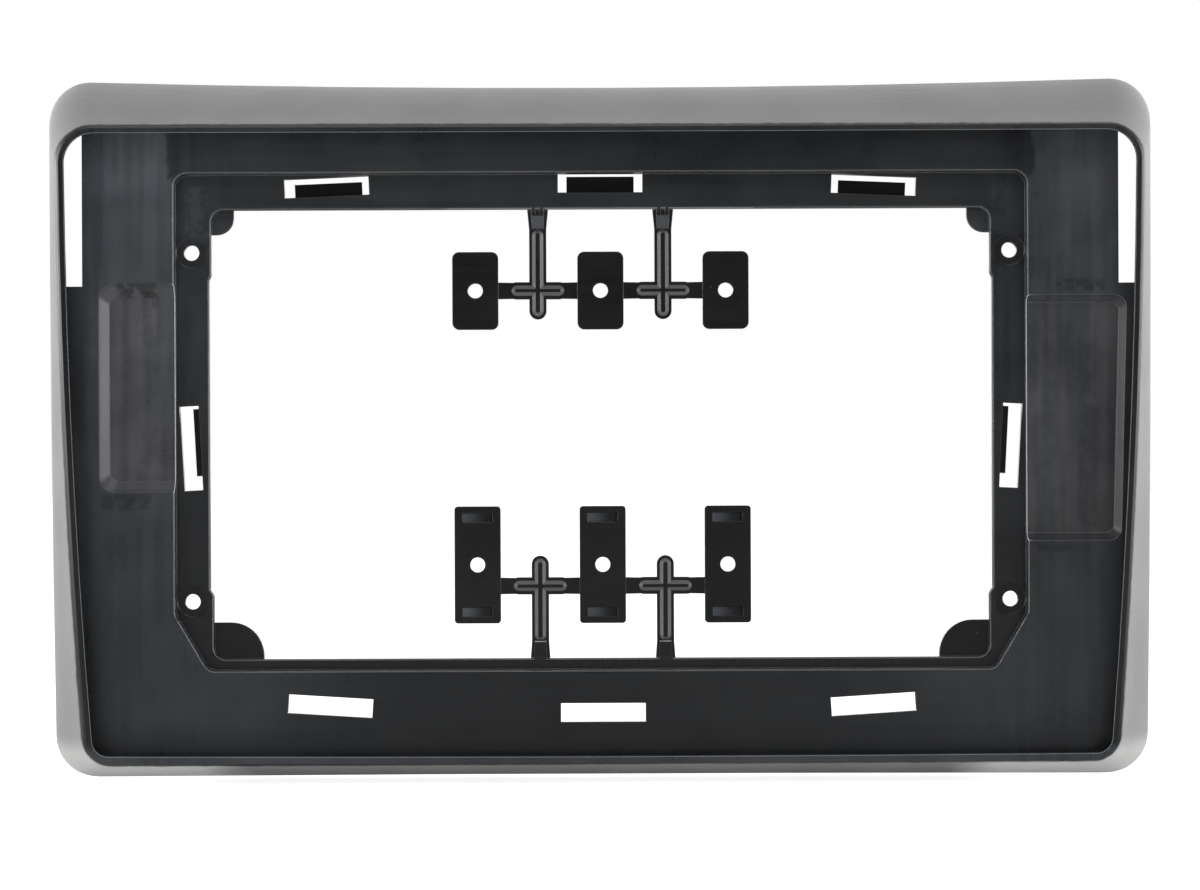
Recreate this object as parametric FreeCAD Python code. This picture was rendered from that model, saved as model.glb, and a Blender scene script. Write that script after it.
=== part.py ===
import FreeCAD, Part
import math
import os

V = FreeCAD.Vector

# Car radio mounting frame, moulded in one shot, in millimetres.
# X runs across the frame, Z up it, and Y through it: the front faces -Y, the rear +Y.
# The origin is the centre of the four screw holes, on the rear face of the window ledge.

# Levels through the frame
plate = 2.0
floor_step = 3.0
rear_wall = 6.0
recess_depth = 7.0
ledge_rear = 0.0
seat = ledge_rear - plate
floor_rear = ledge_rear + floor_step
floor_front = floor_rear - plate
rear_edge = floor_rear + rear_wall
front_edge = seat - recess_depth

# Window for the radio body, a little narrower beside the screw holes
window_half = 91.3
window_top = 50.6
window_bottom = -54.15
window_radius = 2.8
high_pad_inset = 0.5
low_pad_inset = 0.8
pad_height = 15.0
pad_slope = 1.2
pad_radius = 1.0
edge_round = 0.55
edge_bands = 3

# Borders between the window and the frame's outer edge
side_border = 38.5
top_border = 31.4
bottom_border = 28.2

# Ledge round the window
ledge_side = 7.8
ledge_high = 8.25
ledge_low = 2.55
ledge_radius = 3.0
ledge_cut_width = 7.6
ledge_cut_height = 13.0
step_wall = 1.8

# Outer outline at the front edge, and how far it has come in at the seat and at the rear edge
front_low_inset = 1.1
front_side_bow = 0.35
front_top_dip = 1.85
front_bottom_rise = 0.3
seat_high_inset = 0.9
seat_low_inset = 2.7
seat_side_bow = 0.4
seat_top_drop = 3.4
seat_top_dip = 1.2
seat_bottom_lift = 1.15
seat_bottom_rise = 0.05
rear_high_inset = 4.3
rear_low_inset = 10.9
rear_side_bow = 1.15
rear_top_drop = 12.7
rear_top_dip = 0.1
rear_bottom_lift = 4.95
rear_bottom_rise = -0.35

# Walls and corners
wall = 1.75
wall_spread = 0.5
front_high_radius = 9.6
front_low_radius = 10.6
rear_high_radius = 8.3
rear_low_radius = 5.6
high_inner_radius = 6.9
low_inner_radius = 3.8
front_round = 1.4
lip_bevel = 0.3
rim_bands = 4
flank_bands = 8

# Recess for the screen at the front
screen_side_rim = 4.5
screen_top_rim = 10.15
screen_bottom_rim = 7.2
screen_radius = 5.0
seat_width = 1.6

# Screw holes
screw_gap = 4.1
screw_pitch_z = 81.4
screw_bore = 3.6
screw_sink = 7.0
screw_sink_depth = 0.3

# Slots in the ledge and below it, placed from the window's edges
slot_length = 19.7
slot_width = 4.35
high_slot_x = 63.8
high_slot_rise = 5.35
high_slot_tilt = 2.35
top_slot_rise = 6.05
side_slot_gap = 4.25
side_slot_z = -4.9
side_slot_tilt = 3.0
low_slot_x = 63.1
low_slot_drop = 10.75
low_slot_tilt = 3.6
bottom_slot_x = -0.3
bottom_slot_drop = 12.45

# Hooks that stand beside the slots at the front
hook_length = 15.8
hook_post = 1.2
high_hook_lip = 3.45
top_hook_lip = 4.1
hook_nose = 2.5
side_hook_lip = 1.95
side_hook_nose = 1.3
side_hook_shift = 1.3
hook_reach = 4.8
hook_lip_depth = 1.6
hook_lip_edge = 0.6

# Corner slots beside the upper side walls
corner_slot_inset = 9.4
corner_slot_drop = 11.5
corner_slot_height = 37.7
corner_slot_spread = 2.5

# Shallow pockets in the floor: a narrow one at +X and a wide one at -X
pocket_depth = 2.0
narrow_inset = 13.2
narrow_top = 33.35
narrow_bottom = -15.1
narrow_bevel = 2.7
narrow_side_bevel = 2.25
narrow_radius = 3.5
wide_high_inset = 7.6
wide_low_inset = 9.0
wide_top = 30.0
wide_bottom = -27.0
wide_bevel = 1.7
wide_side_bevel = 1.45
wide_radius = 2.8

# Tabs behind the window's corners
tab_thickness = 1.6
high_tab_width = 5.1
high_tab_height = 5.6
high_tab_radius = 4.2
low_tab_width = 11.45
low_tab_height = 8.5
low_tab_radius = 7.7
tab_root = 3.0

# Spare plates left on their runners in the window
plate_pitch = 29.2
spare_thickness = 2.0
spare_bore = 3.5
flat_width = 10.75
flat_height = 18.1
flat_drop = 19.0
flat_radius = 1.6
clip_width = 10.75
clip_height = 27.3
clip_lift = 21.8
clip_radius = 0.8
clip_ramp_offset = 11.0
clip_ramp_length = 7.0
clip_ramp_width = 2.1
clip_ramp_depth = 1.2
clip_ramp_shallow = 0.15
lower_shift = -0.3

# Runners: a flat web with round ends, and a ridge of trapezoid section along its middle
web_width = 4.0
web_thickness = 1.2
stem_ridge = 2.6
arm_ridge = 2.35
ridge_slope = 0.78
ridge_height = 0.8
ridge_end_steps = 6
arm_reach = 6.15
branch_wide = 4.1
branch_narrow = 3.5
upper_cross_drop = 19.0
upper_stem_drop = 25.7
upper_gate_drop = 4.7
lower_cross_lift = 16.85
lower_stem_lift = 23.9
lower_gate_lift = 4.0
gate_width = 5.0
gate_rise = 0.3
gate_low = 0.35
gate_wedge_width = 2.9
gate_notch_width = 1.0
gate_notch_height = 1.5
gate_root = 0.4

# Margins by which a cut runs past the surface that it opens, and by which an edge is picked
past = 0.5
far_past = 20.0
near = 0.05

# Values worked out from those above
frame_half = window_half + side_border
frame_top = window_top + top_border
frame_bottom = window_bottom - bottom_border
ledge_half = window_half + ledge_side
ledge_top = window_top + ledge_high
ledge_bottom = window_bottom - ledge_low
screen_half = frame_half - screen_side_rim
screen_top = frame_top - screen_top_rim
screen_bottom = frame_bottom + screen_bottom_rim
web_rear = ledge_rear - plate / 2 + web_thickness / 2
web_front = ledge_rear - plate / 2 - web_thickness / 2


def at_level(front, middle, rear, y):
    """Value at level y of the curve through its values at the front, the seat and the rear."""
    a = (y - seat) * (y - rear_edge) / ((front_edge - seat) * (front_edge - rear_edge))
    b = (y - front_edge) * (y - rear_edge) / ((seat - front_edge) * (seat - rear_edge))
    c = (y - front_edge) * (y - seat) / ((rear_edge - front_edge) * (rear_edge - seat))
    return front * a + middle * b + rear * c


def high_half(y):
    """Half the frame's width at its upper corners, at level y."""
    return frame_half - at_level(0.0, seat_high_inset, rear_high_inset, y)


def low_half(y):
    """Half the frame's width at its lower corners, at level y."""
    return frame_half - at_level(front_low_inset, seat_low_inset, rear_low_inset, y)


def flank_outline(y, high_radius, low_radius, inset=0.0, at=None):
    """Bowed four-sided outline that the flank has at level y, with rounded corners, moved in
    by inset and drawn at its own level or at another."""
    half_top = high_half(y) - inset
    half_bottom = low_half(y) - inset
    top = frame_top - at_level(0.0, seat_top_drop, rear_top_drop, y) - inset
    bottom = frame_bottom + at_level(0.0, seat_bottom_lift, rear_bottom_lift, y) + inset
    side = (half_top + half_bottom) / 2 + at_level(front_side_bow, seat_side_bow, rear_side_bow, y)
    middle = (top + bottom) / 2
    points = [(half_top, top), (-half_top, top), (-half_bottom, bottom), (half_bottom, bottom)]
    passing = [(0, top - at_level(front_top_dip, seat_top_dip, rear_top_dip, y)), (-side, middle),
               (0, bottom + at_level(front_bottom_rise, seat_bottom_rise, rear_bottom_rise, y)),
               (side, middle)]
    radii = [high_radius, high_radius, low_radius, low_radius]
    return rounded_polygon(points, radii, y if at is None else at, passing)


def long_edges(solid, low, high):
    """Edges of a solid that run from one level to another."""
    found = []
    for edge in solid.Edges:
        box = edge.BoundBox
        if box.YMin < low + near and box.YMax > high - near:
            found.append(edge)
    return found


def rounded_polygon(points, radii, y, passing=None):
    """Closed wire through (x, z) points at level y, each corner rounded by its own radius.
    Its sides are straight, or arcs through the passing points."""
    corners = [V(x, y, z) for x, z in points]
    count = len(corners)
    rounds = []
    for i, (corner, radius) in enumerate(zip(corners, radii)):
        back = (corners[i - 1] - corner).normalize()
        on = (corners[(i + 1) % count] - corner).normalize()
        half = back.getAngle(on) / 2
        reach = radius / math.tan(half)
        middle = corner + (back + on).normalize() * (radius / math.sin(half) - radius)
        rounds.append((corner + back * reach, middle, corner + on * reach))
    edges = []
    for i, (start, middle, end) in enumerate(rounds):
        follower = rounds[(i + 1) % count][0]
        if radii[i] > 0:
            edges.append(Part.Arc(start, middle, end).toShape())
        if passing is None:
            edges.append(Part.makeLine(end, follower))
        else:
            edges.append(Part.Arc(end, V(passing[i][0], y, passing[i][1]), follower).toShape())
    return Part.Wire(edges)


def box_points(x_low, x_high, z_low, z_high):
    """Four corners of an upright rectangle."""
    return [(x_low, z_low), (x_high, z_low), (x_high, z_high), (x_low, z_high)]


def prism(points, radii, y_low, y_high):
    """Block whose outline, seen from the rear, is a polygon with rounded corners."""
    return Part.Face(rounded_polygon(points, radii, y_low)).extrude(V(0, y_high - y_low, 0))


def rounded_prism(x_low, x_high, z_low, z_high, y_low, y_high, radius):
    """Upright block seen from the rear, with its four corners rounded."""
    return prism(box_points(x_low, x_high, z_low, z_high), [radius] * 4, y_low, y_high)


def mirrored(shape):
    """The same shape on the other side of the frame."""
    return shape.mirror(V(0, 0, 0), V(1, 0, 0))


def flank_corners(y):
    """Radii of the flank's upper and lower corners at level y."""
    share = (y - front_edge) / (rear_edge - front_edge)
    high = front_high_radius + (rear_high_radius - front_high_radius) * share
    low = front_low_radius + (rear_low_radius - front_low_radius) * share
    return high, low


def rim_sections():
    """Outlines of the rounded front edge of the flank, from the front backwards."""
    start = front_edge + front_round
    high, low = flank_corners(start)
    sections = []
    for i in range(rim_bands, 0, -1):
        turn = math.pi / 2 * i / rim_bands
        y = start - front_round * math.sin(turn)
        inset = front_round * (1 - math.cos(turn))
        sections.append(flank_outline(start, high - inset, low - inset, inset, y))
    return sections


def flank_sections():
    """Outlines of the flared flank, up to the small bevel of the rear lip."""
    start = front_edge + front_round
    end = rear_edge - lip_bevel
    sections = []
    for i in range(flank_bands + 1):
        y = start + (end - start) * i / flank_bands
        sections.append(flank_outline(y, *flank_corners(y)))
    high, low = flank_corners(rear_edge)
    sections.append(flank_outline(rear_edge, high - lip_bevel, low - lip_bevel, lip_bevel))
    return sections


def shell():
    """Outer wall of the frame with its flared flank, hollow at the rear and at the front."""
    body = Part.makeLoft(rim_sections() + flank_sections(), True, True)
    return body.cut([rear_hollow(), screen_recess(), front_core()])


def rear_hollow():
    """Hollow inside the rear wall, which follows the flank down to the floor."""
    shoulder = rear_edge - lip_bevel
    sections = []
    for y, inset, at in ((floor_rear, wall + wall_spread, floor_rear),
                         (shoulder, wall, shoulder),
                         (rear_edge, wall - lip_bevel, rear_edge),
                         (rear_edge, wall - lip_bevel, rear_edge + past)):
        sections.append(flank_outline(y, high_inner_radius, low_inner_radius, inset, at))
    return Part.makeLoft(sections, True, True)


def screen_recess():
    """Rectangular recess in the front, down to the seat that carries the screen."""
    return rounded_prism(-screen_half, screen_half, screen_bottom, screen_top,
                         front_edge - past, seat, screen_radius)


def front_core():
    """Hollow between the screen seat and the front of the floor, as wide as the wall allows."""
    under = seat - past
    inset = wall + wall_spread
    sections = [flank_outline(floor_front, high_inner_radius, low_inner_radius, inset, y)
                for y in (under, floor_front)]
    flank = Part.makeLoft(sections, True, True)
    half = screen_half - seat_width
    inner = rounded_prism(-half, half, screen_bottom + seat_width, screen_top - seat_width,
                          under, floor_front, screen_radius - seat_width)
    return flank.common(inner)


def ledge_points(grow):
    """Corners of the ledge's outline, its two lower corners cut off, grown outward."""
    half = ledge_half + grow
    top = ledge_top + grow
    bottom = ledge_bottom - grow
    slope = math.atan2(ledge_cut_height, ledge_cut_width)
    cut_high = ledge_bottom + ledge_cut_height - grow * math.tan((math.pi / 2 - slope) / 2)
    cut_low = ledge_half - ledge_cut_width + grow * math.tan(slope / 2)
    return [(half, top), (-half, top), (-half, cut_high), (-cut_low, bottom),
            (cut_low, bottom), (half, cut_high)]


def window_points():
    """Corners of the window, which is stepped in beside the upper and the lower screw holes."""
    high = window_half - high_pad_inset
    low = window_half - low_pad_inset
    pad_low = window_top - pad_height
    pad_high = window_bottom + pad_height
    left = [(high, window_top), (high, pad_low), (window_half, pad_low - pad_slope),
            (window_half, pad_high + pad_slope), (low, pad_high), (low, window_bottom)]
    return left + [(-x, z) for x, z in reversed(left)]


def opening_cut(points, radii, y_low, y_high):
    """Cutter for an opening whose edge is rounded at level y_high, in a few narrow bands."""
    below = y_high - edge_round
    sections = [rounded_polygon(points, radii, y_low), rounded_polygon(points, radii, below)]
    for i in range(1, edge_bands + 1):
        turn = math.pi / 2 * i / edge_bands
        level = y_high - edge_round * (1 - math.sin(turn))
        wire = rounded_polygon(points, radii, level)
        sections.append(wire.makeOffset2D(edge_round * (1 - math.cos(turn))))
    above = rounded_polygon(points, radii, y_high + past).makeOffset2D(edge_round)
    return Part.makeLoft(sections + [above], True, True)


def pocket(half_top, half_bottom, top, bottom, bevel, side_bevel, radius, grow, y_low, y_high):
    """Bevelled block that forms a pocket, or the swelling behind it when it is grown."""
    inner_end = ledge_half - step_wall / 2
    wires = []
    for inset, side, y in ((bevel - grow, side_bevel - grow, y_low), (-grow, -grow, y_high)):
        points = [(inner_end, top - inset), (half_top - side, top - inset),
                  (half_bottom - side, bottom + inset), (inner_end, bottom + inset)]
        outer = radius - inset / 2
        wires.append(rounded_polygon(points, [0, outer, outer, 0], y))
    return Part.makeLoft(wires, True, True)


def pockets(grow, y_low, y_high):
    """The narrow pocket at +X and the wide one at -X."""
    narrow_half = frame_half - narrow_inset
    narrow = pocket(narrow_half, narrow_half, narrow_top, narrow_bottom, narrow_bevel,
                    narrow_side_bevel, narrow_radius, grow, y_low, y_high)
    wide = pocket(frame_half - wide_high_inset, frame_half - wide_low_inset, wide_top,
                  wide_bottom, wide_bevel, wide_side_bevel, wide_radius, grow, y_low, y_high)
    return [narrow, mirrored(wide)]


def turned(shape, x, z, tilt):
    """A shape made at the origin, turned about Y and moved to its place."""
    shape.rotate(V(0, 0, 0), V(0, 1, 0), tilt)
    shape.translate(V(x, 0, z))
    return shape


def slot_block():
    """Through slot of the common size, at the origin."""
    low = seat - past
    return Part.makeBox(slot_length, rear_edge - low, slot_width,
                        V(-slot_length / 2, low, -slot_width / 2))


def slots():
    """Five slots in the ledge and three in the floor below it."""
    side_x = window_half + side_slot_gap
    found = [turned(slot_block(), 0, window_top + top_slot_rise, 0),
             turned(slot_block(), bottom_slot_x, window_bottom - bottom_slot_drop, 0)]
    for side in (1, -1):
        found.append(turned(slot_block(), side * high_slot_x, window_top + high_slot_rise,
                            side * high_slot_tilt))
        found.append(turned(slot_block(), side * side_x, side_slot_z,
                            side * (90 + side_slot_tilt)))
        found.append(turned(slot_block(), side * low_slot_x, window_bottom - low_slot_drop,
                            -side * low_slot_tilt))
    return found


def hook(lip, nose, shift):
    """Catch hook on the front of the ledge: a post beside the slot and a lip over it."""
    root = seat + past
    tip = seat - hook_reach
    catch = tip + hook_lip_depth
    inner = -slot_width / 2 - hook_post
    edge = -slot_width / 2
    profile = [V(0, root, inner), V(0, tip, inner), V(0, tip, edge + lip - nose),
               V(0, catch - hook_lip_edge, edge + lip), V(0, catch, edge + lip),
               V(0, catch, edge), V(0, root, edge)]
    body = Part.Face(Part.makePolygon(profile + profile[:1])).extrude(V(hook_length, 0, 0))
    body.translate(V(shift - hook_length / 2, 0, 0))
    return body


def hooks():
    """Hooks at the three slots above the window and at the one on each side of it."""
    side_x = window_half + side_slot_gap
    found = [turned(hook(top_hook_lip, hook_nose, 0), 0, window_top + top_slot_rise, 0)]
    for side in (1, -1):
        found.append(turned(hook(high_hook_lip, hook_nose, 0), side * high_slot_x,
                            window_top + high_slot_rise, side * high_slot_tilt))
        side_hook = hook(side_hook_lip, side_hook_nose, -side * side_hook_shift)
        found.append(turned(side_hook, side * side_x, side_slot_z,
                            side * (90 + side_slot_tilt)))
    return found


def corner_slot():
    """Drafted slot beside the upper side wall, rounded at its top, open into the recess."""
    rear = floor_rear + past
    front = front_edge - past
    high = frame_top - corner_slot_drop
    low = high - corner_slot_height
    inner = frame_half - corner_slot_inset
    rear_outer = high_half(floor_rear) - wall - wall_spread
    front_outer = frame_half - corner_slot_spread
    root = inner - high_inner_radius
    points = [V(root, front, low), V(front_outer, front, low), V(rear_outer, rear, low),
              V(root, rear, low)]
    block = Part.Face(Part.makePolygon(points + points[:1])).extrude(V(0, 0, high - low))
    corner = [e for e in long_edges(block, front, rear)
              if e.CenterOfMass.z > high - past and e.CenterOfMass.x > inner]
    block = block.makeFillet(high_inner_radius, corner)
    keep = Part.makeBox(frame_half, rear - front, high - low, V(inner, front, low))
    return block.common(keep)


def screw_cuts():
    """Four screw holes, each in a shallow round sink."""
    found = []
    for x in (-window_half - screw_gap, window_half + screw_gap):
        for z in (-screw_pitch_z / 2, screw_pitch_z / 2):
            bore = Part.makeCylinder(screw_bore / 2, far_past, V(x, -far_past / 2, z), V(0, 1, 0))
            sink = Part.makeCylinder(screw_sink / 2, floor_step, V(x, -screw_sink_depth, z),
                                     V(0, 1, 0))
            found.append(bore.fuse(sink))
    return found


def corner_tab(half, width, height, radius, z_edge, direction):
    """Thin tab behind one window corner at +X; direction is +1 for an upper corner."""
    free = z_edge - direction * height
    root = z_edge + direction * tab_root
    low, high = sorted((free, root))
    block = Part.makeBox(width + tab_root, tab_thickness, high - low,
                         V(half - width, seat - tab_thickness, low))
    corner = [e for e in long_edges(block, seat - tab_thickness, seat)
              if abs(e.CenterOfMass.x - (half - width)) < near
              and abs(e.CenterOfMass.z - free) < near]
    return block.makeFillet(radius, corner)


def corner_tabs():
    """Four tabs, two small ones above and two larger ones below."""
    upper = corner_tab(window_half - high_pad_inset, high_tab_width, high_tab_height,
                       high_tab_radius, window_top, 1)
    lower = corner_tab(window_half - low_pad_inset, low_tab_width, low_tab_height,
                       low_tab_radius, window_bottom, -1)
    return [upper, mirrored(upper), lower, mirrored(lower)]


def web(start, end):
    """Flat bar between two (x, z) points, with half-round ends."""
    a = V(start[0], web_front, start[1])
    b = V(end[0], web_front, end[1])
    along = (b - a).normalize() * (web_width / 2)
    across = V(along.z, 0, -along.x)
    edges = [Part.makeLine(a + across, b + across),
             Part.Arc(b + across, b + along, b - across).toShape(),
             Part.makeLine(b - across, a - across),
             Part.Arc(a - across, a - along, a + across).toShape()]
    return Part.Face(Part.Wire(edges)).extrude(V(0, web_thickness, 0))


def ridge(start, end, width):
    """Sloping ridge on a web between two (x, z) points, with round ends in short steps."""
    heading = math.atan2(end[1] - start[1], end[0] - start[0])
    wires = []
    for radius, y in ((width / 2, web_rear), (width / 2 - ridge_slope, web_rear + ridge_height)):
        points = []
        for (x, z), first in ((end, heading - math.pi / 2), (start, heading + math.pi / 2)):
            for i in range(ridge_end_steps + 1):
                turn = first + math.pi * i / ridge_end_steps
                points.append(V(x + radius * math.cos(turn), y, z + radius * math.sin(turn)))
        wires.append(Part.makePolygon(points + points[:1]))
    return Part.makeLoft(wires, True, True)


def runner_cross(x, cross_z, end_z, gate_z, edge_z):
    """Stem, short arms and gate of one cross of the runner."""
    away = 1 if end_z > cross_z else -1
    tip = (x, end_z - away * web_width / 2)
    reach = arm_reach - arm_ridge / 2
    left = (x - reach, cross_z)
    right = (x + reach, cross_z)
    ridge_foot = (x, gate_z + away * stem_ridge / 2)
    return web((x, gate_z), tip).fuse([web(left, right), ridge(ridge_foot, tip, stem_ridge),
                                       ridge(left, right, arm_ridge), gate(x, gate_z, edge_z)])


def gate_section(x, z, width, top):
    """Upright rectangle across a gate, from the front of the web up to a level."""
    points = [V(x - width / 2, web_front, z), V(x + width / 2, web_front, z),
              V(x + width / 2, top, z), V(x - width / 2, top, z)]
    return Part.makePolygon(points + points[:1])


def gate(x, gate_z, edge_z):
    """Fan gate: a web that widens to the edge it feeds, with a notched wedge that thins to it."""
    toward = 1 if edge_z > gate_z else -1
    root = edge_z + toward * gate_root
    notch_z = edge_z - toward * gate_notch_height
    fan = Part.makeLoft([gate_section(x, gate_z, web_width, web_rear),
                         gate_section(x, root, gate_width, web_rear)], True, True)
    high = web_rear + ridge_height + gate_rise
    wedge = Part.makeLoft([gate_section(x, gate_z, stem_ridge, high),
                           gate_section(x, notch_z, gate_wedge_width, web_rear + gate_low),
                           gate_section(x, root, gate_wedge_width, web_rear + gate_low)],
                          True, True)
    low, high = sorted((root, notch_z))
    notch = Part.makeBox(gate_notch_width, plate, high - low,
                         V(x - gate_notch_width / 2, web_rear, low))
    return fan.fuse(wedge.cut(notch))


def branch(x_arm, x_plate, z):
    """Tapered gate from a runner's arm to a spare plate, widest at the plate."""
    points = [(x_arm, z - branch_narrow / 2), (x_plate, z - branch_wide / 2),
              (x_plate, z + branch_wide / 2), (x_arm, z + branch_narrow / 2)]
    return prism(points, [0] * 4, web_front, web_rear)


def spare_plate(x, z, width, height, radius):
    """Flat spare plate with rounded corners."""
    low = ledge_rear - plate / 2 - spare_thickness / 2
    return rounded_prism(x - width / 2, x + width / 2, z - height / 2, z + height / 2,
                         low, low + spare_thickness, radius)


def spare_bore_cut(x, z):
    """Hole through a spare plate."""
    return Part.makeCylinder(spare_bore / 2, far_past, V(x, -far_past / 2, z), V(0, 1, 0))


def clip_ramp(x, z):
    """Sloping pocket near the end of a clip plate, deepest at its -X end."""
    top = ledge_rear - plate / 2 + spare_thickness / 2
    half = clip_ramp_length / 2
    low = z - clip_ramp_width / 2
    points = [V(x + half, top - clip_ramp_shallow, low), V(x - half, top - clip_ramp_depth, low),
              V(x - half, top + past, low), V(x + half, top + past, low)]
    return Part.Face(Part.makePolygon(points + points[:1])).extrude(V(0, 0, clip_ramp_width))


def runner_tree(x_middle, cross_z, end_z, gate_z, edge_z):
    """Two runner crosses and the four branches that reach the three spare plates."""
    parts = []
    for side in (-1, 1):
        x = x_middle + side * plate_pitch / 2
        parts.append(runner_cross(x, cross_z, end_z, gate_z, edge_z))
        for toward in (-1, 1):
            parts.append(branch(x, x + toward * plate_pitch / 2, cross_z))
    return parts


def upper_tree():
    """Three flat plates on the runner that hangs from the window's upper edge."""
    z = window_top - flat_drop
    parts = runner_tree(0, window_top - upper_cross_drop, window_top - upper_stem_drop,
                        window_top - upper_gate_drop, window_top)
    cuts = []
    for i in (-1, 0, 1):
        parts.append(spare_plate(i * plate_pitch, z, flat_width, flat_height, flat_radius))
        cuts.append(spare_bore_cut(i * plate_pitch, z))
    return parts[0].fuse(parts[1:]).cut(cuts).removeSplitter()


def lower_tree():
    """Three clip plates on the runner that stands on the step below the window."""
    z = window_bottom + clip_lift
    parts = runner_tree(lower_shift, window_bottom + lower_cross_lift,
                        window_bottom + lower_stem_lift, window_bottom + lower_gate_lift,
                        ledge_bottom)
    cuts = []
    for i in (-1, 0, 1):
        x = lower_shift + i * plate_pitch
        parts.append(spare_plate(x, z, clip_width, clip_height, clip_radius))
        cuts.append(spare_bore_cut(x, z))
        for end in (-1, 1):
            cuts.append(clip_ramp(x, z + end * clip_ramp_offset))
    return parts[0].fuse(parts[1:]).cut(cuts).removeSplitter()


def mounting_frame():
    """The whole moulding."""
    ledge_radii = [ledge_radius] * len(ledge_points(0.0))
    window_corner = [window_radius] + [pad_radius] * 4 + [window_radius]
    swelling = prism(ledge_points(step_wall), ledge_radii, seat, floor_front + past)
    body = shell()
    body = body.fuse([swelling] + pockets(step_wall, floor_front - pocket_depth, floor_rear - past))
    cuts = [opening_cut(ledge_points(0.0), ledge_radii, ledge_rear, floor_rear),
            opening_cut(window_points(), window_corner * 2, front_edge, ledge_rear)]
    body = body.cut(cuts)
    cuts = [corner_slot(), mirrored(corner_slot())]
    cuts += pockets(0.0, floor_rear - pocket_depth, floor_rear)
    cuts += slots() + screw_cuts()
    body = body.cut(cuts)
    return body.fuse(hooks() + corner_tabs() + [upper_tree(), lower_tree()])


os.makedirs("parts", exist_ok=True)
frame = mounting_frame()
print("solids", len(frame.Solids), "valid", frame.isValid(), "volume", round(frame.Volume, 1))
print("box", frame.BoundBox)
solid = frame.Solids[0] if len(frame.Solids) == 1 else frame
solid.exportStep("parts/mounting_frame.step")
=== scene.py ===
import bpy
from mathutils import Matrix, Vector


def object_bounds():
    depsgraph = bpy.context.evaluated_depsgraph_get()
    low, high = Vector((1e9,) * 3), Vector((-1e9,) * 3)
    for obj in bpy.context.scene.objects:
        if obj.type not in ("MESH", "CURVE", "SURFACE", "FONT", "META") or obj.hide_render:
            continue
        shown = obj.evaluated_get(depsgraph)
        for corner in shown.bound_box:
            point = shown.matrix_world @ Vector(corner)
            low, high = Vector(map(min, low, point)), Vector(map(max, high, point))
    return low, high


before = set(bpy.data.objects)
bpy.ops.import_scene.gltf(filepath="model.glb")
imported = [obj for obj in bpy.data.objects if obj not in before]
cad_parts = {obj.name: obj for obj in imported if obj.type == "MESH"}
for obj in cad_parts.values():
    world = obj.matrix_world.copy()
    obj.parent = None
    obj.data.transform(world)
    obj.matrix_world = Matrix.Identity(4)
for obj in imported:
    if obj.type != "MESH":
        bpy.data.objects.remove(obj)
cad_low, cad_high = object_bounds()

# The photograph's view: how far the camera stood, where it looked and how it was rolled
IMAGE_WIDTH_PX = 1200
MM_PER_PX = 0.2333
CAMERA_DISTANCE = 0.700
CAMERA_X = 0.000244
CAMERA_Z = -0.004475
CAMERA_ROLL = 0.0040
SENSOR_MM = 36.0

MM = 0.001

# Places on the frame that its finish follows, in millimetres
LIP_HALF_LOW = 118.7
LIP_HALF_HIGH = 125.3
LIP_BOW = 1.15
LIP_BOTTOM = -77.2
LIP_TOP = 68.75
LIP_RADIUS_LOW = 5.6
LIP_RADIUS_HIGH = 8.3
BARE_BAND_LEFT = 1.05
BARE_BAND_RIGHT = 0.65
FLANK_FRONT = -6.5
LEDGE_HALF = 99.1
LEDGE_TOP = 58.9
LEDGE_BOTTOM = -56.7
RAMP_LOW = -1.0
RAMP_HIGH = -0.2
WINDOW_HALF = 90.8
WINDOW_TOP = 50.1
WINDOW_BOTTOM = -53.7
FLOOR_LEVEL = 3.0
POCKET_LEVEL = 1.0
HOOK_LEVEL = -4.0
SPARE_HALF = 36.0
SPARE_REACH = 47.0
PALE_FROM = 35.0
SCREW_X = 95.4
SCREW_Z = 40.7
SINK_HALF = (3.7, 4.2)
STRIP_FROM = 84.0
STRIP_FULL = 101.0

# Slots, whose edges don't shine: middle and half size across and up, from the frame's middle
SLOTS = ((0.0, 56.0, 76.0, 2.4), (0.0, -65.6, 76.0, 4.6), (95.3, -5.0, 2.9, 11.2))

# Darker and paler patches on the plastic: middle, half size across and up, and brightness
DARK_AND_PALE_PATCHES = ((107.8, 31.9, 4.6, 1.7, 0.45), (105.0, 29.8, 2.2, 1.8, 0.70),
          (110.1, -17.3, 6.0, 1.8, 0.62), (-111.5, 32.4, 5.6, 1.4, 0.55),
          (-107.5, -28.7, 6.3, 0.9, 0.65), (96.8, 6.7, 1.6, 1.5, 0.65),
          (94.2, 49.6, 2.6, 6.5, 1.55), (-93.4, 51.0, 2.0, 5.8, 1.35),
          (104.5, 8.0, 3.2, 19.0, 1.14), (-103.5, 2.0, 3.0, 22.0, 1.18),
          (-113.4, -2.0, 2.2, 22.0, 0.80))

# Strength of the studio's light
DIM = 0.05
AMBIENT = 0.38
BACKDROP = 0.9
BEHIND = 2.6
SIDE_LAMP = 7.4
TOP_LAMP = 2.3
FLOOR_GLOW = 0.84
FLOOR_BOUNCE = 0.60

# Softboxes in metres: where they stand, the side ones at both sides, and their width and height
SIDE_LAMP_PLACE = (0.95, 0.14, 0.05)
SIDE_LAMP_SIZE = (0.45, 0.9)
TOP_LAMP_PLACE = (0.0, 0.66, 0.90)
TOP_LAMP_SIZE = (0.9, 0.4)

# Where the world's light changes, from 1 behind the camera to -1 beyond the frame
DIM_EDGE = (0.985, 0.90)
BACKDROP_EDGE = (-0.05, -0.45)
BEHIND_EDGE = (-0.50, -0.95)

# Floor: half its width in metres, its gap under the frame in millimetres, and its colour
FLOOR_HALF = 4.0
FLOOR_GAP = 0.4
FLOOR_COLOUR = (0.50, 0.50, 0.495)
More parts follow.
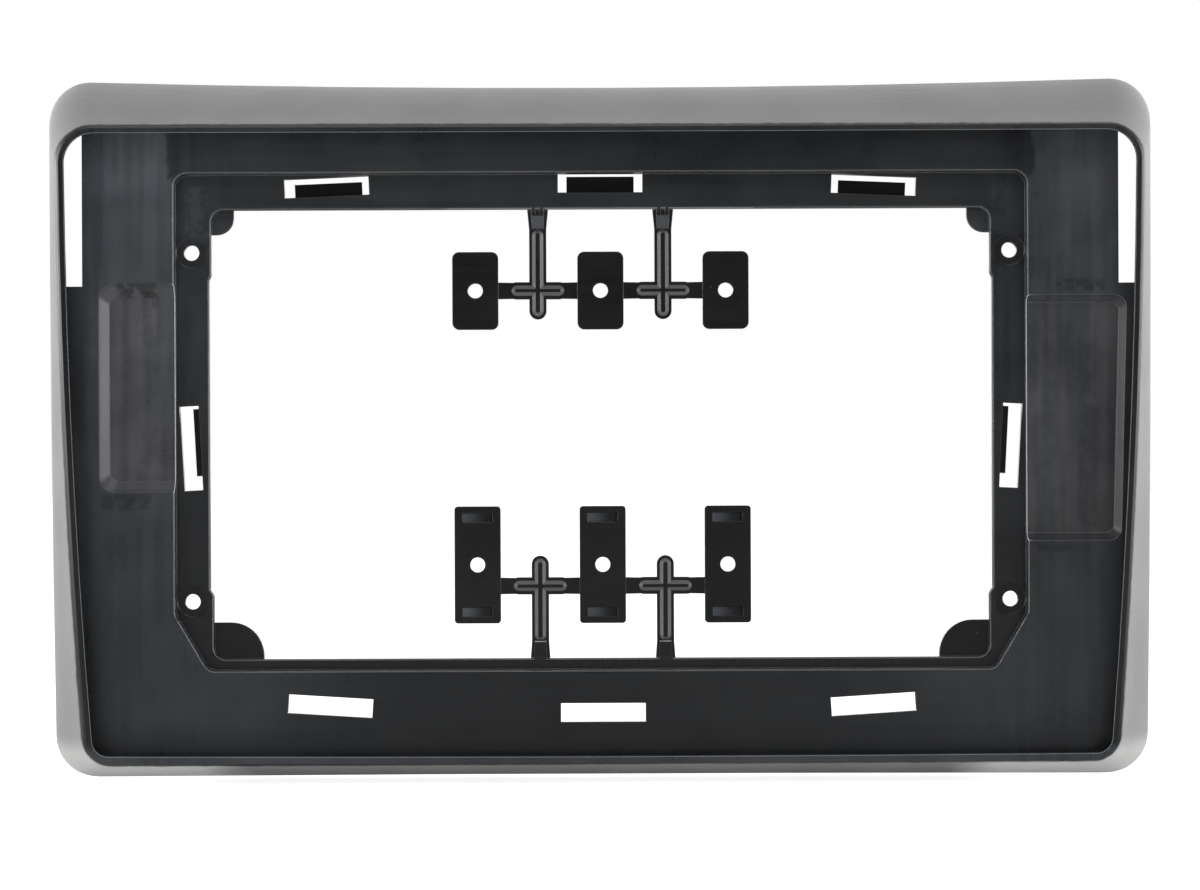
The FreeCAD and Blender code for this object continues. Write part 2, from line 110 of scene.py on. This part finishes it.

# How light the bare plastic is, and how much lighter its paler parts are, with painted glare of
# the side softboxes on the floor's side strips; pairs run from the right to the left, or from
# below to above
PLAIN_SHADE = 0.0125
STRIP_SHADE = (0.020, 0.038)
STRIP_DRIFT = (0.8, 1.2)
POCKET_SHADE = 0.014
TOP_BAND_SHADE = (0.004, 0.016)
LEDGE_SHADE = (0.005, 0.011)
LEDGE_SIDE_SHADE = 0.004
SCREW_DIMMING = (0.55, 0.75)

# How light the lip, the spare plates with their runners and the hooks are
LIP_SHADE = (0.010, 0.022)
LOW_LIP_SHADE = 0.045
PLATE_SHADE = (0.0040, 0.0068)
HIGH_TAB_SHADE = 0.030
# Painted light on the plates' ramps and on the upper gates' slopes, which turn towards the lamps
RAMP_PAINTED_LIGHT = 0.060
GATE_PAINTED_LIGHT = 0.045
HOOK_SHADE = 0.0015

# Painted highlights along rounded edges and on the runners' ridge slopes, added to the plastic's
# colour
PAINTED_EDGE_HIGHLIGHT = 0.75
PAINTED_POCKET_HIGHLIGHT = 0.14
PAINTED_LIP_HIGHLIGHT = 0.30
PAINTED_RIDGE_HIGHLIGHT = 0.12

# Tints of the plastic, which its shade multiplies, and the colour of the dust on it
COOL_TINT = (0.88, 1.0, 1.18)
MILD_TINT = (0.92, 1.0, 1.12)
WARM_TINT = (1.02, 0.97, 1.06)
DUST_COLOUR = (0.13, 0.13, 0.13)

# Colours of the paint, and how light it is at the middle and at the ends of the lower edge:
# painted shade along the middle, which faces down, and painted light at the ends
PAINT_DARK = (0.250, 0.254, 0.250)
PAINT_LIGHT = (0.276, 0.279, 0.274)
PAINT_SPECKLE = (0.34, 0.343, 0.335)
PAINT_DRIFT = (0.21, 0.213, 0.21)
PAINT_FLAKE = (0.11, 0.11, 0.11)
LOW_EDGE_PAINTED_SHADE_AND_LIGHT = (0.68, 1.72)

# Rounding of the edges and depth of the grain, in millimetres
EDGE_ROUND = 0.42
LIP_ROUND = 0.26
LIP_FROM = 7.0
LIP_FULL = 8.0
GRAIN_DEPTH = 0.05
GRAIN_STRENGTH = 0.35
PLASTIC_IOR = 1.5


def new_material(name):
    """Empty node material and its output node."""
    material = bpy.data.materials.new(name)
    material.use_nodes = True
    material.node_tree.nodes.clear()
    output = material.node_tree.nodes.new("ShaderNodeOutputMaterial")
    return material, output


def is_socket(value):
    """Whether a value is another node's output."""
    return isinstance(value, bpy.types.NodeSocket)


class Graph:
    """Short calls that add nodes to one material and join them."""

    def __init__(self, tree):
        self.tree = tree

    def add(self, kind, inputs=None, **settings):
        """One node; inputs maps socket names or numbers to values or to other sockets."""
        node = self.tree.nodes.new(kind)
        for name, value in settings.items():
            setattr(node, name, value)
        for socket, value in (inputs or {}).items():
            if is_socket(value):
                self.tree.links.new(value, node.inputs[socket])
            else:
                node.inputs[socket].default_value = value
        return node

    def math(self, operation, a, b=0.0):
        """Result of one sum on two numbers or sockets."""
        return self.add("ShaderNodeMath", {0: a, 1: b}, operation=operation).outputs[0]

    def plus(self, a, b):
        """Sum of two values."""
        return self.math("ADD", a, b)

    def minus(self, a, b):
        """What is left of one value less another."""
        return self.math("SUBTRACT", a, b)

    def size(self, value):
        """A value without its sign."""
        return self.math("ABSOLUTE", value)

    def times(self, *values):
        """Product of several values."""
        product = values[0]
        for value in values[1:]:
            product = self.math("MULTIPLY", product, value)
        return product

    def ramp(self, value, low, high, start=0.0, end=1.0):
        """Value mapped smoothly from low..high to start..end, and held beyond them."""
        node = self.add("ShaderNodeMapRange", {"Value": value, "From Min": low, "From Max": high,
                                               "To Min": start, "To Max": end},
                        interpolation_type="SMOOTHSTEP")
        return node.outputs["Result"]

    def line(self, value, low, high, start=0.0, end=1.0):
        """Value mapped in a straight line from low..high to start..end, and held beyond them."""
        node = self.add("ShaderNodeMapRange", {"Value": value, "From Min": low, "From Max": high,
                                               "To Min": start, "To Max": end})
        return node.outputs["Result"]

    def noise(self, vector, scale, detail, roughness):
        """Grey noise at so many cells for each unit of the vector."""
        node = self.add("ShaderNodeTexNoise", {"Vector": vector, "Scale": scale,
                                               "Detail": detail, "Roughness": roughness})
        return node.outputs["Fac"]

    def stretched(self, vector, x, y, z):
        """The vector with each axis multiplied by its own number."""
        node = self.add("ShaderNodeVectorMath", {0: vector, 1: (x, y, z)}, operation="MULTIPLY")
        return node.outputs[0]

    def split(self, vector):
        """The three numbers of a vector."""
        return self.add("ShaderNodeSeparateXYZ", {0: vector}).outputs

    def blend(self, factor, first, second):
        """Colour between two colours."""
        node = self.add("ShaderNodeMix", data_type="RGBA")
        for index, value in ((0, factor), (6, first), (7, second)):
            if is_socket(value):
                self.tree.links.new(value, node.inputs[index])
            else:
                node.inputs[index].default_value = value
        return node.outputs[2]

    def between(self, factor, first, second):
        """Number between two numbers."""
        return self.add("ShaderNodeMix", {0: factor, 2: first, 3: second}).outputs[0]

    def darkened(self, colour, amount):
        """Colour multiplied by a number."""
        node = self.add("ShaderNodeVectorMath", {0: colour, 3: amount}, operation="SCALE")
        return node.outputs[0]


def opaque(red, green, blue):
    """Opaque colour from three linear values."""
    return (red, green, blue, 1.0)


def dust_specks(graph, place, cells, size, share):
    """Mask of small round specks, in a share of the cells of a grid with so many cells per mm."""
    cell = graph.add("ShaderNodeTexVoronoi", {"Vector": place, "Scale": cells,
                                              "Randomness": 1.0}, feature="F1")
    chosen = graph.math("GREATER_THAN", graph.add(
        "ShaderNodeSeparateColor", {0: cell.outputs["Color"]}).outputs[0], 1.0 - share)
    near = graph.ramp(cell.outputs["Distance"], size, size * 0.4)
    return graph.times(chosen, near)


def patch(graph, across, up, middle_x, middle_z, half_x, half_z, soft=0.5):
    """1 inside a rectangle seen from behind, falling to 0 round it."""
    off_x = graph.size(graph.minus(across, middle_x))
    off_z = graph.size(graph.minus(up, middle_z))
    return graph.times(graph.ramp(off_x, half_x + soft, half_x - soft),
                       graph.ramp(off_z, half_z + soft, half_z - soft))


def in_pocket(graph, place):
    """1 on the bottoms and the sloping rims of the two floor pockets."""
    x, y, _ = graph.split(place)
    return graph.times(graph.ramp(y, FLOOR_LEVEL - 0.3, FLOOR_LEVEL - 0.6),
                       graph.math("GREATER_THAN", graph.size(x), LEDGE_HALF))


def painted_highlight_edges(graph, place, eased, normal):
    """Where painted highlights go: 1 along rounded convex edges that face the frame's middle, and
    the same for every edge. Slots, screw holes and spare plates have none."""
    x, y, z = graph.split(place)
    wide = graph.size(x)
    high = graph.size(z)
    turn = graph.add("ShaderNodeVectorMath", {0: eased, 1: normal}, operation="DOT_PRODUCT")
    edges = graph.ramp(turn.outputs["Value"], 0.99, 0.91)
    open_air = graph.add("ShaderNodeAmbientOcclusion", {"Distance": 0.8 * MM}, samples=5,
                         only_local=True).outputs["AO"]
    toward = graph.split(eased)
    inward = graph.plus(graph.times(x, toward[0], -1.0 / cad_high[0] * MM),
                        graph.times(z, toward[2], -1.0 / cad_high[2] * MM))
    painted_highlight_mask = graph.times(edges, graph.ramp(open_air, 0.72, 0.92),
                          graph.ramp(inward, 0.05, 0.30),
                          graph.math("GREATER_THAN", y, HOOK_LEVEL + 3.5))
    for slot in SLOTS:
        painted_highlight_mask = graph.times(painted_highlight_mask, graph.minus(1.0, patch(graph, wide, z, *slot, 0.1)))
    sink = patch(graph, wide, high, SCREW_X, SCREW_Z, *SINK_HALF, 0.1)
    spare = patch(graph, wide, high, 0.0, 0.0, SPARE_HALF, SPARE_REACH, 0.1)
    dull = graph.math("MAXIMUM", sink, spare)
    return graph.times(painted_highlight_mask, graph.minus(1.0, dull)), edges


def past_lip(graph, place):
    """How far a place lies outside the lip's outline, seen from behind, and how far outside its
    sides alone, in millimetres."""
    x, _, z = graph.split(place)
    share = graph.line(z, LIP_BOTTOM, LIP_TOP)
    from_middle = graph.minus(graph.times(share, 2.0), 1.0)
    bow = graph.times(graph.minus(1.0, graph.times(from_middle, from_middle)), LIP_BOW)
    half = graph.plus(graph.between(share, LIP_HALF_LOW, LIP_HALF_HIGH), bow)
    radius = graph.between(share, LIP_RADIUS_LOW, LIP_RADIUS_HIGH)
    middle_z = (LIP_TOP + LIP_BOTTOM) / 2
    past_side = graph.minus(graph.size(x), half)
    past_end = graph.minus(graph.size(graph.minus(z, middle_z)), LIP_TOP - middle_z)
    beyond_x = graph.math("MAXIMUM", graph.plus(past_side, radius), 0.0)
    beyond_z = graph.math("MAXIMUM", graph.plus(past_end, radius), 0.0)
    reach = graph.math("SQRT", graph.plus(graph.times(beyond_x, beyond_x),
                                          graph.times(beyond_z, beyond_z)))
    return graph.minus(reach, radius), past_side


def paint_mask(graph, place, normal, past):
    """1 on the painted flank and front of the frame, 0 on bare plastic. The paint on the flank
    stops a little before the lip, sooner on the left than on the right."""
    x, y, z = graph.split(place)
    facing = graph.split(normal)
    outward = graph.plus(graph.times(x, facing[0], MM / cad_high[0]),
                         graph.times(z, facing[2], MM / cad_high[2]))
    wobble = graph.times(graph.minus(graph.noise(place, 0.35, 3.0, 0.6), 0.5), 0.5)
    band = graph.ramp(x, -110.0, 110.0, BARE_BAND_RIGHT, BARE_BAND_LEFT)
    covered = graph.ramp(graph.minus(graph.plus(past, wobble), band), -0.25, 0.35)
    flank = graph.times(graph.ramp(outward, 0.06, 0.16), covered)
    front = graph.times(graph.ramp(facing[1], -0.3, -0.6),
                        graph.math("LESS_THAN", y, FLANK_FRONT))
    return graph.math("MAXIMUM", flank, front)


def floor_shade(graph, place, past_side):
    """How much lighter than plain plastic the floor is: its side strips, paler with painted glare
    of the side softboxes and darker with painted shade towards the flank and along the lower edge,
    the pockets and the band above the ledge."""
    x, _, z = graph.split(place)
    wide = graph.size(x)
    wobble = graph.minus(graph.noise(place, 0.16, 4.0, 0.6), 0.5)
    edge = graph.plus(wide, graph.times(wobble, 7.0))
    sharp = graph.ramp(edge, LEDGE_HALF + 0.8, LEDGE_HALF + 2.4)
    gradual = graph.ramp(wide, PALE_FROM, LEDGE_HALF + 6.0)
    lower = graph.ramp(z, LEDGE_BOTTOM + 12.0, LEDGE_BOTTOM - 2.0)
    upper = graph.ramp(graph.plus(z, graph.times(wobble, 3.0)), LEDGE_TOP - 2.5, LEDGE_TOP)
    # Painted shade towards the flank wall and along the lower lip
    by_flank = graph.ramp(graph.plus(past_side, graph.times(wobble, 5.0)), -2.5, -7.5, 0.45, 1.0)
    by_foot = graph.ramp(z, LIP_BOTTOM + 2.0, LIP_BOTTOM + 12.0, 0.55, 1.0)
    strips = graph.times(graph.between(lower, 1.0, gradual), graph.between(upper, 1.0, sharp),
                         by_flank, by_foot,
                         graph.between(graph.ramp(z, -45.0, 35.0), *STRIP_SHADE),
                         graph.ramp(x, -90.0, 90.0, *STRIP_DRIFT))
    top_band = graph.times(graph.ramp(z, 52.0, 58.0),
                           graph.ramp(x, -100.0, 100.0, *TOP_BAND_SHADE))
    pockets = graph.times(in_pocket(graph, place), POCKET_SHADE)
    return graph.plus(graph.plus(strips, pockets), top_band)


def ledge_shade(graph, place):
    """How much lighter than plain plastic the ledge round the window is."""
    x, _, z = graph.split(place)
    rising = graph.times(graph.ramp(z, -50.0, 55.0), graph.ramp(x, -100.0, 100.0, *LEDGE_SHADE))
    sides = graph.times(graph.ramp(graph.size(x), 88.0, 92.0), graph.ramp(z, -30.0, 10.0),
                        LEDGE_SIDE_SHADE)
    return graph.plus(rising, sides)


def with_patches(graph, place, shade):
    """The shade with darker and paler patches, and darker round the screw holes."""
    x, _, z = graph.split(place)
    rough_edge = graph.ramp(graph.noise(place, 0.45, 2.5, 0.55), 0.38, 0.56)
    for *rectangle, brightness in DARK_AND_PALE_PATCHES:
        amount = graph.times(patch(graph, x, z, *rectangle), rough_edge)
        shade = graph.times(shade, graph.between(amount, 1.0, brightness))
    screws = patch(graph, graph.size(x), graph.size(z), SCREW_X, SCREW_Z, 3.5, 3.7)
    return graph.times(shade, graph.between(screws, 1.0,
                                            graph.line(x, -1.0, 1.0, *SCREW_DIMMING)))


def spare_shade(graph, place, normal):
    """How light the things in the window are: plates and tabs, and painted light on the slopes of
    the plates' ramps and of the upper gates, which turn towards the lamps.
    """
    x, y, z = graph.split(place)
    facing = graph.split(normal)
    wide = graph.size(x)
    spare = graph.math("LESS_THAN", wide, SPARE_HALF)
    plates = graph.ramp(x, -SPARE_HALF, SPARE_HALF, *PLATE_SHADE)
    high_tabs = graph.ramp(graph.plus(wide, z), 110.0, 125.0, 0.0, HIGH_TAB_SHADE)
    ramps = graph.times(spare, graph.ramp(graph.size(facing[0]), 0.08, 0.12),
                        graph.ramp(facing[1], 0.94, 0.97), graph.ramp(y, RAMP_LOW, RAMP_HIGH),
                        RAMP_PAINTED_LIGHT)
    gates = graph.times(spare, graph.ramp(graph.size(facing[2]), 0.08, 0.14),
                        graph.ramp(facing[1], 0.90, 0.95), graph.ramp(z, 39.0, 41.0), GATE_PAINTED_LIGHT)
    return graph.plus(graph.plus(plates, high_tabs), graph.plus(ramps, gates))


def plastic_shade(graph, place, normal, past_side):
    """How light the bare plastic is, from place to place: the side strips of the floor and the
    pockets are paler than the ledge and the spare plates; the strips hold painted glare and
    painted shade by the walls, and slopes in the window hold painted light."""
    x, y, z = graph.split(place)
    on_floor = graph.ramp(y, POCKET_LEVEL - 0.4, POCKET_LEVEL - 0.1)
    paler = graph.between(on_floor, ledge_shade(graph, place),
                          floor_shade(graph, place, past_side))
    shade = with_patches(graph, place, graph.plus(paler, PLAIN_SHADE))
    lip = graph.between(graph.ramp(z, -72.5, -75.5), graph.ramp(z, 60.0, 66.0, *LIP_SHADE),
                        LOW_LIP_SHADE)
    shade = graph.between(graph.ramp(y, 8.4, 8.8), shade, lip)
    in_window = graph.times(graph.math("LESS_THAN", graph.size(x), WINDOW_HALF),
                            graph.math("LESS_THAN", z, WINDOW_TOP),
                            graph.math("GREATER_THAN", z, WINDOW_BOTTOM))
    shade = graph.between(in_window, shade, spare_shade(graph, place, normal))
    hook = graph.ramp(y, HOOK_LEVEL + 1.5, HOOK_LEVEL + 0.5)
    return graph.between(hook, shade, HOOK_SHADE)


def ridge_slopes(graph, place, normal):
    """1 on the smooth slopes of the runners' ridges, where a painted highlight goes."""
    x, _, z = graph.split(place)
    facing = graph.split(normal)[1]
    by_plates = patch(graph, x, z, 0.0, 0.0, SPARE_HALF, 53.0, 0.1)
    return graph.times(by_plates, graph.ramp(facing, 0.90, 0.84), graph.ramp(facing, 0.4, 0.5))


def painted_edge_highlights(graph, place, normal, painted_highlight_mask):
    """Painted highlights that the rounded edges and the runners' ridges add to the plastic's
    colour.
    """
    x, y, _ = graph.split(place)
    inside = graph.ramp(graph.size(x), LEDGE_HALF + 1.0, LEDGE_HALF + 1.6,
                        PAINTED_EDGE_HIGHLIGHT, PAINTED_POCKET_HIGHLIGHT)
    strength = graph.between(graph.ramp(y, LIP_FROM, LIP_FULL), inside, PAINTED_LIP_HIGHLIGHT)
    ridges = graph.times(ridge_slopes(graph, place, normal), PAINTED_RIDGE_HIGHLIGHT)
    return graph.plus(graph.times(painted_highlight_mask, strength), ridges)


def bare_plastic(graph, place, normal, eased, past_side):
    """Colour, roughness and height of the bare moulded plastic, with soft streaks that stand
    upright on the side strips and lie level between them, and painted highlights on its edges."""
    across = graph.size(graph.split(place)[0])
    cloud = graph.noise(place, 0.045, 5.0, 0.6)
    upright = graph.noise(graph.stretched(place, 0.42, 0.2, 0.030), 1.0, 1.0, 0.4)
    level = graph.noise(graph.stretched(place, 0.025, 0.2, 0.42), 1.0, 1.0, 0.4)
    streak = graph.between(graph.ramp(across, STRIP_FROM, STRIP_FULL),
                           graph.ramp(level, 0.3, 0.7, 0.42, 0.58), upright)
    blot = graph.ramp(graph.noise(place, 0.07, 4.0, 0.55), 0.52, 0.75)
    grain = graph.noise(place, 4.5, 2.0, 0.6)
    specks = dust_specks(graph, place, 0.16, 0.05, 0.16)
    shade = graph.times(plastic_shade(graph, place, normal, past_side),
                        graph.ramp(cloud, 0.3, 0.7, 0.80, 1.20),
                        graph.ramp(streak, 0.3, 0.7, 0.87, 1.13),
                        graph.ramp(blot, 0.0, 1.0, 1.0, 0.86))
    tint = graph.blend(graph.ramp(cloud, 0.35, 0.65), opaque(*COOL_TINT), opaque(*MILD_TINT))
    warm = graph.times(in_pocket(graph, place), graph.ramp(upright, 0.35, 0.60))
    tint = graph.blend(warm, tint, opaque(*WARM_TINT))
    painted_highlight_mask, edges = painted_highlight_edges(graph, place, eased, normal)
    # Painted highlights along the edges and ridges are added onto the plastic's colour
    base = graph.add("ShaderNodeVectorMath", {
        0: graph.darkened(tint, shade),
        1: painted_edge_highlights(graph, place, normal, painted_highlight_mask)}).outputs[0]
    base = graph.blend(graph.times(specks, 0.5), base, opaque(*DUST_COLOUR))
    rough = graph.plus(graph.ramp(cloud, 0.3, 0.7, 0.28, 0.36),
                       graph.plus(graph.ramp(streak, 0.3, 0.7, -0.03, 0.03),
                                  graph.ramp(grain, 0.3, 0.7, -0.02, 0.02)))
    return base, graph.between(edges, rough, 0.20), graph.times(grain, 0.3)


def grey_paint(graph, place, past):
    """Colour, roughness and height of the matt grey paint, with painted shade along the middle of
    the lower edge, which faces down, and painted light at its ends."""
    x, _, z = graph.split(place)
    cloud = graph.noise(place, 0.05, 3.0, 0.5)
    speckle = graph.noise(place, 2.6, 3.0, 0.7)
    drift = graph.noise(graph.stretched(place, 0.05, 0.6, 0.6), 1.0, 4.0, 0.6)
    flake = dust_specks(graph, place, 0.5, 0.16, 0.2)
    base = graph.blend(graph.ramp(cloud, 0.35, 0.65), opaque(*PAINT_DARK), opaque(*PAINT_LIGHT))
    base = graph.blend(graph.ramp(speckle, 0.5, 0.8, 0.0, 0.3), base, opaque(*PAINT_SPECKLE))
    base = graph.blend(graph.ramp(drift, 0.55, 0.75, 0.0, 0.06), base, opaque(*PAINT_DRIFT))
    base = graph.blend(graph.times(flake, 0.45), base, opaque(*PAINT_FLAKE))
    # Painted shade along the middle of the lower edge, which faces down, and painted light at its
    # ends
    low = graph.ramp(z, LIP_BOTTOM + 6.0, LIP_BOTTOM + 1.0)
    along = graph.ramp(graph.plus(graph.size(x), graph.times(cloud, 14.0)), 86.0, 100.0,
                       *LOW_EDGE_PAINTED_SHADE_AND_LIGHT)
    near = graph.ramp(past, 4.5, 1.2, 1.0, 1.08)
    base = graph.darkened(base, graph.times(graph.between(low, 1.0, along), near))
    rough = graph.ramp(speckle, 0.3, 0.7, 0.50, 0.62)
    return base, rough, graph.times(speckle, 0.7)


def frame_material():
    """Bare black plastic with matt grey paint on the flank and the front."""
    material, output = new_material("painted_black_plastic")
    graph = Graph(material.node_tree)
    coordinates = graph.add("ShaderNodeTexCoord").outputs["Object"]
    place = graph.stretched(coordinates, 1.0 / MM, 1.0 / MM, 1.0 / MM)
    normal = graph.add("ShaderNodeNewGeometry").outputs["Normal"]
    past, past_side = past_lip(graph, place)
    mask = paint_mask(graph, place, normal, past)
    radius = graph.ramp(graph.split(place)[1], LIP_FROM, LIP_FULL, EDGE_ROUND * MM,
                        LIP_ROUND * MM)
    eased = graph.add("ShaderNodeBevel", {"Radius": radius}, samples=8).outputs[0]
    plastic_colour, plastic_rough, plastic_height = bare_plastic(graph, place, normal, eased,
                                                                 past_side)
    paint_colour, paint_rough, paint_height = grey_paint(graph, place, past)
    colour = graph.blend(mask, plastic_colour, paint_colour)
    rough = graph.between(mask, plastic_rough, paint_rough)
    height = graph.between(mask, plastic_height, paint_height)
    bump = graph.add("ShaderNodeBump", {"Height": height, "Strength": GRAIN_STRENGTH,
                                        "Distance": GRAIN_DEPTH * MM,
                                        "Normal": eased}).outputs[0]
    shader = graph.add("ShaderNodeBsdfPrincipled", {"Base Color": colour, "Roughness": rough,
                                                    "Normal": bump, "IOR": PLASTIC_IOR})
    graph.tree.links.new(shader.outputs[0], output.inputs["Surface"])
    return material


def floor_material():
    """Pale floor that the camera sees as white wherever no shadow falls on it, and whose glow also
    lights the frame from below.
    """
    material, output = new_material("pale_floor")
    graph = Graph(material.node_tree)
    path = graph.add("ShaderNodeLightPath")
    seen = graph.math("MAXIMUM", path.outputs["Is Camera Ray"],
                      path.outputs["Is Transmission Ray"])
    diffuse = graph.add("ShaderNodeBsdfDiffuse", {"Color": opaque(*FLOOR_COLOUR)})
    bounce = graph.times(path.outputs["Is Diffuse Ray"], FLOOR_BOUNCE)
    glow = graph.add("ShaderNodeEmission", {
        "Color": opaque(1.0, 1.0, 1.0),
        "Strength": graph.plus(graph.times(seen, FLOOR_GLOW), bounce)})
    both = graph.add("ShaderNodeAddShader", {0: diffuse.outputs[0], 1: glow.outputs[0]})
    graph.tree.links.new(both.outputs[0], output.inputs["Surface"])
    return material


def make_floor():
    """Large pale floor just under the frame's lower edge."""
    height = cad_low[2] - FLOOR_GAP * MM
    corners = [(FLOOR_HALF * x, FLOOR_HALF * y, height)
               for x, y in ((-1, -1), (1, -1), (1, 1), (-1, 1))]
    mesh = bpy.data.meshes.new("floor")
    mesh.from_pydata(corners, [], [(0, 1, 2, 3)])
    floor = bpy.data.objects.new("floor", mesh)
    bpy.context.scene.collection.objects.link(floor)
    floor.data.materials.append(floor_material())


def make_world():
    """White where the camera looks, a bright backdrop beyond the frame and dim light elsewhere."""
    world = bpy.data.worlds.new("studio")
    world.use_nodes = True
    world.node_tree.nodes.clear()
    graph = Graph(world.node_tree)
    output = graph.add("ShaderNodeOutputWorld")
    path = graph.add("ShaderNodeLightPath")
    seen = graph.math("MAXIMUM", path.outputs["Is Camera Ray"],
                      path.outputs["Is Transmission Ray"])
    along = graph.split(graph.add("ShaderNodeTexCoord").outputs["Generated"])[1]
    level = graph.ramp(along, *DIM_EDGE, DIM, AMBIENT)
    level = graph.plus(level, graph.ramp(along, *BACKDROP_EDGE, 0.0, BACKDROP - AMBIENT))
    level = graph.plus(level, graph.ramp(along, *BEHIND_EDGE, 0.0, BEHIND - BACKDROP))
    light = graph.add("ShaderNodeBackground", {"Color": opaque(1, 1, 1), "Strength": level})
    white = graph.add("ShaderNodeBackground", {"Color": opaque(1, 1, 1), "Strength": 1.0})
    mix = graph.add("ShaderNodeMixShader", {0: seen, 1: light.outputs[0], 2: white.outputs[0]})
    graph.tree.links.new(mix.outputs[0], output.inputs["Surface"])
    bpy.context.scene.world = world


def softbox(name, place, size, power):
    """Rectangular area lamp that looks at the frame's origin."""
    lamp = bpy.data.lights.new(name, "AREA")
    lamp.shape = "RECTANGLE"
    lamp.size, lamp.size_y = size
    lamp.energy = power
    holder = bpy.data.objects.new(name, lamp)
    holder.location = place
    holder.rotation_euler = (-Vector(place)).to_track_quat("-Z", "Y").to_euler()
    bpy.context.scene.collection.objects.link(holder)


def make_lamps():
    """Two tall softboxes at the sides and a weaker one overhead."""
    x, y, z = SIDE_LAMP_PLACE
    softbox("left_softbox", (x, y, z), SIDE_LAMP_SIZE, SIDE_LAMP)
    softbox("right_softbox", (-x, y, z), SIDE_LAMP_SIZE, SIDE_LAMP)
    softbox("top_softbox", TOP_LAMP_PLACE, TOP_LAMP_SIZE, TOP_LAMP)


def make_camera():
    """Camera behind the frame, level, looking along -Y, with the photograph's slight roll."""
    right = Vector((-1.0, 0.0, -CAMERA_ROLL)).normalized()
    up = Vector((-CAMERA_ROLL, 0.0, 1.0)).normalized()
    back = right.cross(up).normalized()
    camera = bpy.data.cameras.new("camera")
    camera.sensor_width = SENSOR_MM
    camera.lens = SENSOR_MM * CAMERA_DISTANCE / (IMAGE_WIDTH_PX * MM_PER_PX * MM)
    holder = bpy.data.objects.new("camera", camera)
    turn = Matrix((right, up, back)).transposed().to_4x4()
    holder.matrix_world = Matrix.Translation((CAMERA_X, CAMERA_DISTANCE, CAMERA_Z)) @ turn
    bpy.context.scene.collection.objects.link(holder)
    bpy.context.scene.camera = holder


def dress_frame():
    """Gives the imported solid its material."""
    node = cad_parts["mounting_frame"]
    material = frame_material()
    for slot in node.material_slots:
        slot.link = "OBJECT"
        slot.material = material


dress_frame()
make_floor()
make_world()
make_lamps()
make_camera()
bpy.context.scene.view_settings.view_transform = "Standard"
